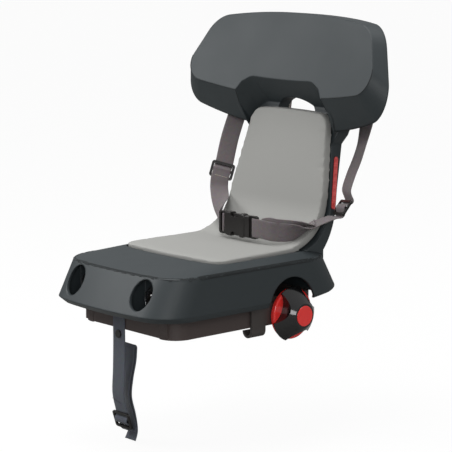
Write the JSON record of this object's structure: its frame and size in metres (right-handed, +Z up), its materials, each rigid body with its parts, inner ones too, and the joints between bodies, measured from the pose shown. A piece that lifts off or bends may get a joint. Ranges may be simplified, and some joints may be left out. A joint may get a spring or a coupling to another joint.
{
  "type": "child bike seat",
  "caption": "Child seat for a bicycle luggage rack: winged headrest shell, foam pad, buckled harness, hanging safety strap and a knob-driven clamp with hooked jaws.",
  "frame": {"origin": "on the underside of the mount base, where it rests on the rack, under the line of the clamp spindle and on the middle plane of the seat", "axes": "+Z up, +Y to the rear of the bicycle, +X to the child's left"},
  "size_m": [0.4334, 0.423, 0.609],
  "materials": {
    "shell_plastic": "fine matt grain",
    "pad_foam": "matt moulded foam",
    "base_plastic": "matt",
    "jaw_metal": "satin",
    "red_plastic": "gloss",
    "knob_plastic": "gloss",
    "bolt_plastic": "gloss",
    "reflector_red": "prismatic",
    "buckle_plastic": "satin",
    "harness_webbing": "woven",
    "safety_webbing": "woven",
    "steel": "zinc plated"
  },
  "bodies": {
    "seat": {"seat_shell": "shell_plastic", "back_shell": "shell_plastic", "comfort_pad": "pad_foam", "mount_base": "base_plastic", "base_front_cover": "base_plastic", "clamp_jaw_fixed": "jaw_metal", "front_pocket_right": "shell_plastic", "front_pocket_left": "shell_plastic", "front_cup_right": "steel", "front_cup_left": "steel", "front_bolt_right": "bolt_plastic", "front_bolt_left": "bolt_plastic", "front_nut_right": "steel", "front_nut_left": "steel", "base_screw_right": "steel", "base_screw_left": "steel", "reflector_right": "reflector_red", "reflector_left": "reflector_red", "jaw_screw_front": "steel", "jaw_screw_rear": "steel", "slider_left": "buckle_plastic", "slider_right": "buckle_plastic", "slider_safety": "buckle_plastic", "buckle_socket": "buckle_plastic", "buckle_plug": "buckle_plastic", "harness_strap_left": "harness_webbing", "harness_strap_right": "harness_webbing", "strap_tab_right": "harness_webbing", "strap_tab_left": "harness_webbing", "anchor_bolt_right": "steel", "anchor_bolt_left": "steel", "safety_strap": "safety_webbing", "safety_rivet": "buckle_plastic", "safety_stud": "buckle_plastic"},
    "knob": {"clamp_spindle": "steel", "spindle_clip": "steel", "knob_collar": "red_plastic", "clamp_knob": "knob_plastic", "knob_cap": "red_plastic"},
    "jaw": {"clamp_jaw_moving": "jaw_metal", "clamp_nut": "steel"}
  },
  "joints": [
    {"name": "knob_turn", "type": "hinge", "parent": "seat", "child": "knob", "pos_m": [0.13, 0, 0.013], "axis": [-1, 0, 0], "range_deg": [0, 3600]},
    {"name": "jaw_slide", "type": "slide", "parent": "seat", "child": "jaw", "axis": [1, 0, 0], "range_m": [0, 0.04]}
  ],
  "couplings": [
    {"joint": "jaw_slide", "follows": "knob_turn", "m_per_rad": 0.0006366}
  ]
}
